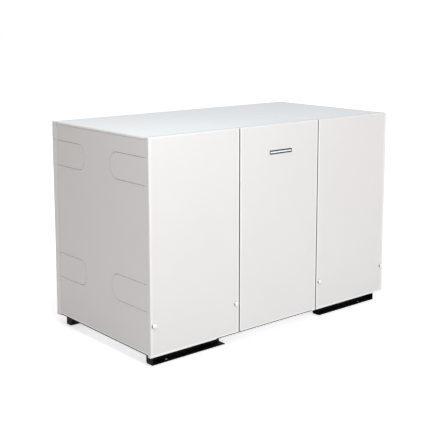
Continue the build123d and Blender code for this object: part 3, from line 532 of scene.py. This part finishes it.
# Dark open-cell foam mats damp the side panels and the doors, glued on inside.
# The cut faces show the cells as a fine, rough grain.
def foam(name, colour, shade, cells, depth):
    """Foam with so many cells to the metre, each a dimple of the given depth."""
    material, place = new_material(name, {"Specular IOR Level": 0.2})
    cell = place.node("TexVoronoi", {}, {"Vector": place, "Scale": cells}, output="Distance")
    feed(
        material,
        {
            "Base Color": tint(ramp(cell, 0.1, 0.7), colour, shade),
            "Roughness": mottle(place, 60, 0.86, 0.98),
            "Normal": relief(cell * depth),
        },
    )
    return material


mat_foam = foam(
    "mat_foam", (0.012, 0.012, 0.013), (0.060, 0.060, 0.064), cells=420, depth=0.0011
)
paint_nodes(
    mat_foam, "side_linings", "door_lining_left", "door_lining_middle", "door_lining_right"
)

# Strips of a finer, closed-cell foam are stuck round the door openings and seal them.
# Their smooth skin hardly shows the cells.
seal_foam = foam(
    "seal_foam", (0.006, 0.006, 0.006), (0.022, 0.022, 0.022), cells=1300, depth=0.0002
)
paint_nodes(seal_foam, "door_seals")

# The three top panels are shallow trays of the same sheet as the sides, and the outer two roll
# down to them. Painted shade darkens the coat towards the back and right, and in a brown line along
# the doors; the seams have a painted highlight, and the rolls a warmer painted shade.
top_low, top_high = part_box("top_panel_middle")
top_outer_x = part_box("top_panel_right")[1].x
shade_slant = 0.5
shade_start, shade_full = -0.75, 0
seam_highlight_full, seam_highlight_end = 0.005, 0.009
front_edge_shade_fall = (0.008, 0.011)
roll_shade_rise = (-0.009, -0.005)
top_paint, place, drift = powder_coat("top_paint", (0.804, 0.802, 0.798), (0.811, 0.809, 0.805))
# Painted shade, darker towards the back and right.
top_shade = ramp(along(place, "X") + along(place, "Y") * shade_slant, shade_start, shade_full)
shaded_top = tint(top_shade, drift, (0.755, 0.757, 0.758))
from_middle = along(place, "X").math("ABSOLUTE")
from_seam = (from_middle - top_high.x).math("ABSOLUTE")
# A painted highlight beside the seams.
seam_highlight = fade(from_seam, seam_highlight_full, seam_highlight_end)
seam_highlighted = tint(seam_highlight, shaded_top, (0.85, 0.85, 0.85))
# A brown line of painted shade along the doors.
front_edge_shade = fade(along(place, "Y"), *measured_from(top_low.y, front_edge_shade_fall))
front_shaded = tint(front_edge_shade, seam_highlighted, (0.64, 0.575, 0.52))
# Painted shade, warmer and a little darker, on the outer rolls.
roll_shade = ramp(from_middle, *measured_from(top_outer_x, roll_shade_rise))
feed(top_paint, {"Base Color": tint(roll_shade, front_shaded, (0.79, 0.755, 0.725))})
paint_nodes(top_paint, "top_panel_left", "top_panel_middle", "top_panel_right")

# The three doors are folded shells with the same baked coat as the panels, and hang by hooks in the
# gutter of the top rail. Along its foot each has a painted highlight on its bottom fold and, between
# the rails, a line of painted shade below it.
door_low, door_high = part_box("door_middle")
next_low, next_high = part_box("door_right")
# The painted shade line at the foot runs between the rails, set 8 cm to the left.
shade_line_offset = -0.08
door_paint, place, drift = powder_coat(
    "door_paint",
    (0.808, 0.801, 0.790),
    (0.815, 0.809, 0.799),
    door_low.z,
    (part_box("rail_front_left")[1].x + shade_line_offset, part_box("rail_front_right")[0].x + shade_line_offset),
)
across = along(place, "X")
from_middle = across.math("ABSOLUTE")
seam_x = (door_high.x + next_low.x) / 2
right_of_seam = across - across.math("SIGN") * seam_x

# Each fold beside a gap, and each outer end of the doors, has a painted highlight on the face. The
# roll at a door's left edge has a brighter painted highlight, the roll at its right edge painted
# shade.
face_above_foot = (0.0120, 0.0140)
face_skin = (0.0025, 0.0045)
seam_fold_highlight_rise, seam_fold_highlight_fall = (-0.016, -0.012), (-0.008, -0.007)
left_roll_highlight_rise, left_roll_highlight_fall = (0, 0.001), (0.006, 0.010)
right_roll_shade_rise, right_roll_shade_fall = (-0.0068, -0.0050), (-0.001, 0)
right_end_highlight_rise = (-0.020, -0.013)
left_end_highlight_rise = (0.013, 0.008)
left_end_highlight_strength = 0.8
on_face = ramp(along(place, "Z"), *measured_from(door_low.z, face_above_foot)) * fade(
    along(place, "Y"), *measured_from(door_low.y, face_skin)
)
seam_fold_highlight = band(right_of_seam, seam_fold_highlight_rise, seam_fold_highlight_fall)
right_end_highlight = ramp(across, *measured_from(next_high.x, right_end_highlight_rise))
left_end_highlight = ramp(across, *measured_from(-next_high.x, left_end_highlight_rise), 0, left_end_highlight_strength)
edge_highlights = seam_fold_highlight.math("MAXIMUM", right_end_highlight.math("MAXIMUM", left_end_highlight))
painted_folds = tint(edge_highlights * on_face, drift, (0.91, 0.90, 0.89))
left_roll_highlight = band(right_of_seam, left_roll_highlight_rise, left_roll_highlight_fall)
painted_folds = tint(left_roll_highlight * on_face, painted_folds, (0.97, 0.965, 0.955))
right_roll_shade = band(right_of_seam, right_roll_shade_rise, right_roll_shade_fall)
painted_folds = tint(right_roll_shade * on_face, painted_folds, (0.52, 0.51, 0.50))

# A ring of painted shadow darkens the door round each lock cap.
# It is darkest along the rim of the cap, and gone a few millimetres from it.
cap_shadow_fall = (0.0005, 0.0045)
outer_lock, inner_lock = [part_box(name) for name in ("lock_right_outer", "lock_right_inner")]
outer_lock_x, inner_lock_x = [(low.x + high.x) / 2 for low, high in (outer_lock, inner_lock)]
lock_z = (outer_lock[0].z + outer_lock[1].z) / 2
lock_radius = (outer_lock[1].x - outer_lock[0].x) / 2
beside_lock = (
    (from_middle - (outer_lock_x + inner_lock_x) / 2).math("ABSOLUTE")
    - (outer_lock_x - inner_lock_x) / 2
)
above_lock = along(place, "Z") - lock_z
from_lock = (beside_lock * beside_lock + above_lock * above_lock).math("SQRT")
cap_shadowed = tint(fade(from_lock, *measured_from(lock_radius, cap_shadow_fall)), painted_folds, (0.60, 0.595, 0.59))

# The flanges that face each other in a gap are painted dark grey, as painted shade in the gap.
# The painted shade ends at the top of the gap, where the flanges end.
gap_depth_rise = (0.0024, 0.0040)
gap_side_fall = (0.008, 0.012)
gap_top_fall = (-0.004, -0.002)
gap_shade = ramp(along(place, "Y"), *measured_from(door_low.y, gap_depth_rise))
between = fade(right_of_seam.math("ABSOLUTE"), *gap_side_fall) * fade(
    along(place, "Z"), *measured_from(door_high.z, gap_top_fall)
)
feed(door_paint, {"Base Color": tint(gap_shade * between, cap_shadowed, (0.135, 0.124, 0.115))})
paint_nodes(door_paint, "door_left", "door_middle", "door_right")

# White moulded caps turn the four locks at the lower corners of the outer doors.
# Their domes are wiped clean with the doors, and the lower half of their walls is painted shade.
cap_low, cap_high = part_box("lock_left_outer")
cap_middle_z = (cap_low.z + cap_high.z) / 2
wall_rise = (0.0018, 0.0028)
shaded_lower_half_fall = (0.001, 0.006)
cap_plastic, place, drift = moulded(
    "cap_plastic", (0.97, 0.965, 0.96), (0.99, 0.985, 0.98), roughness=0.20, grain=0.000006
)
for socket, value in {"Coat Weight": 1.0, "Coat IOR": 1.9, "Coat Roughness": 0.12}.items():
    cap_plastic.node_tree.nodes["Principled BSDF"].inputs[socket].default_value = value
wall = ramp(along(place, "Y"), *measured_from(cap_low.y, wall_rise))
shaded_lower_half = fade(along(place, "Z"), *measured_from(cap_middle_z, shaded_lower_half_fall))
feed(cap_plastic, {"Base Color": tint(wall * shaded_lower_half, drift, (0.03, 0.03, 0.03))})
paint_nodes(
    cap_plastic, "lock_left_outer", "lock_left_inner", "lock_right_inner", "lock_right_outer"
)

# A blank plate is stuck to the middle door near its top, level with the middle of the cabinet.
# It is a bright chromed casting with rounded corners and one broad rib, and the hollow between
# the rib and the rim is filled with dark lacquer.
plate_width = 0.140
plate_height = 0.022
plate_thickness = 0.003
plate_corner = 0.006
plate_rim = 0.0014
plate_sink = 0.0012
plate_edge = 0.0004
plate_drop = 0.123
plate_bite = 0.00005
rib_height = 0.0058
rib_depth = 0.0030
rib_end = rib_depth * 0.4
tolerance = 0.0001
plate_back_y = door_low.y + plate_bite
plate_front_y = plate_back_y - plate_thickness
plate_x = (door_low.x + door_high.x) / 2
plate_z = door_high.z - plate_drop
clear_selection()
bpy.ops.mesh.primitive_plane_add(
    size=1, location=(plate_x, plate_back_y, plate_z), rotation=(math.radians(90), 0, 0)
)
plate = bpy.context.object
plate.name = "blank_plate"
plate.scale = (plate_width, plate_height, 1)
keep_place(plate)
bpy.ops.object.mode_set(mode="EDIT")
bpy.ops.mesh.select_all(action="SELECT")
bpy.ops.mesh.bevel(offset=plate_corner, segments=8, affect="VERTICES")
bpy.ops.mesh.extrude_region_move(TRANSFORM_OT_translate={"value": (0, -plate_thickness, 0)})
bpy.ops.mesh.inset(thickness=plate_rim, depth=0)
bpy.ops.transform.translate(value=(0, plate_sink, 0))
choose_edges(lambda edge: all(abs(v.co.y - plate_front_y) < tolerance for v in edge.verts))
bpy.ops.mesh.bevel(offset=plate_edge, segments=3, affect="EDGES")
bpy.ops.mesh.select_all(action="SELECT")
bpy.ops.mesh.normals_make_consistent(inside=False)
bpy.ops.object.mode_set(mode="OBJECT")
clear_selection()
bpy.ops.mesh.primitive_cylinder_add(
    vertices=48,
    radius=rib_height / 2,
    depth=plate_width - 2 * plate_corner,
    location=(plate_x, plate_front_y + rib_depth / 2, plate_z),
    rotation=(0, math.radians(90), 0),
    scale=(1, rib_depth / rib_height, 1),
)
rib = bpy.context.object
bpy.ops.object.mode_set(mode="EDIT")
choose_edges(lambda edge: abs(edge.verts[0].co.z - edge.verts[1].co.z) < tolerance)
bpy.ops.mesh.bevel(offset=rib_end, segments=4, affect="EDGES")
bpy.ops.object.mode_set(mode="OBJECT")
keep_place(rib)
plate.select_set(True)
bpy.context.view_layer.objects.active = plate
bpy.ops.object.join()
bpy.ops.object.shade_smooth_by_angle(angle=math.radians(40))
chrome_waves = 0.00004
chrome, place = new_material("chrome", {"Metallic": 1.0})
feed(
    chrome,
    {
        "Base Color": tint(mottle(place, 70, 0, 1), (0.84, 0.86, 0.88), (0.90, 0.91, 0.92)),
        "Roughness": mottle(place, 240, 0.06, 0.14),
        "Normal": relief(cloud(place, 120) * chrome_waves),
    },
)
lacquer, _, _ = moulded(
    "lacquer", (0.012, 0.022, 0.028), (0.020, 0.032, 0.038), roughness=0.20, grain=0.000004
)
plate.data.materials.append(chrome)
plate.data.materials.append(lacquer)
for face in plate.data.polygons:
    if face.normal.y < -0.99 and abs(face.center.y - plate_front_y - plate_sink) < tolerance:
        face.material_index = 1
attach(plate, "door_middle")


# A pale studio floor runs out of sight in every direction and keeps the cabinet's soft shadow.
# Away from the cabinet it fades into the white of the surroundings, in metal and gloss too.
def seen_rays(camera_rays):
    """1 for the camera's, glossy and transmission rays, from the first output of Light Path."""
    outputs = camera_rays.socket.node.outputs
    return camera_rays.math("MAXIMUM", Wire(outputs["Is Glossy Ray"])).math(
        "MAXIMUM", Wire(outputs["Is Transmission Ray"])
    )


floor_size = 80
floor_drop = 0.0005
glow_start, glow_end = 0.8, 1.7
near_glow, far_glow = 0.60, 1.0
bpy.ops.mesh.primitive_plane_add(size=floor_size, location=(0, 0, -floor_drop))
floor = bpy.context.object
floor.name = "floor"
floor_look, place = new_material(
    "floor_look",
    {"Base Color": (0.80, 0.80, 0.80, 1), "Specular IOR Level": 0, "Emission Strength": 1},
)
rays = seen_rays(place.node("LightPath", {}, {}, output="Is Camera Ray"))
distance = place.node("VectorMath", {"operation": "LENGTH"}, {0: place}, output="Value")
glow = rays * ramp(distance, glow_start, glow_end, near_glow, far_glow)
feed(
    floor_look,
    {
        "Roughness": mottle(place, 3, 0.85, 0.95),
        "Emission Color": tint(glow, (0, 0, 0), (1, 1, 1)),
    },
)
floor.data.materials.append(floor_look)

# Studio light: a warm room, a large soft lamp off the right end of the doors, a small one near
# their left top corner and two cool ones over the top panels. Camera, gloss and glass see white.
room_light = (0.357, 0.304, 0.280)
world = bpy.data.worlds.new("studio")
world.use_nodes = True
bpy.context.scene.world = world
room = world.node_tree.nodes["Background"]
light_path = Wire(world.node_tree.nodes.new("ShaderNodeLightPath").outputs["Is Camera Ray"])
room_colour = tint(seen_rays(light_path), room_light, (1, 1, 1))
world.node_tree.links.new(room_colour.socket, room.inputs["Color"])


def hang_lamp(name, place, aim, size, power, colour):
    """A square soft lamp that faces a point, with no glare in gloss."""
    bpy.ops.object.light_add(type="AREA", location=place)
    lamp = bpy.context.object
    lamp.name = name
    lamp.data.size = size
    lamp.data.energy = power
    lamp.data.color = colour
    lamp.visible_glossy = False
    away = lamp.location - type(lamp.location)(aim)
    lamp.rotation_euler = away.to_track_quat("Z", "Y").to_euler()


hang_lamp(
    "front_lamp",
    place=(1.5, -4.0, 1.7),
    aim=(0.3, -0.38, 0.5),
    size=2.2,
    power=53.0,
    colour=(0.98, 1.0, 0.997),
)
hang_lamp(
    "corner_lamp",
    place=(-1.45, -2.1, 1.75),
    aim=(-0.6, -0.38, 0.8),
    size=0.7,
    power=14.0,
    colour=(0.975, 0.941, 1.0),
)
hang_lamp(
    "top_lamp",
    place=(-1.3, -1.2, 2.8),
    aim=(-0.6, -0.3, 0.96),
    size=1.2,
    power=24.9,
    colour=(0.833, 0.986, 1.0),
)
hang_lamp(
    "sky_lamp",
    place=(0.2, 0.2, 3.6),
    aim=(0, 0, 0.96),
    size=2.6,
    power=27.1,
    colour=(0.544, 0.776, 1.0),
)
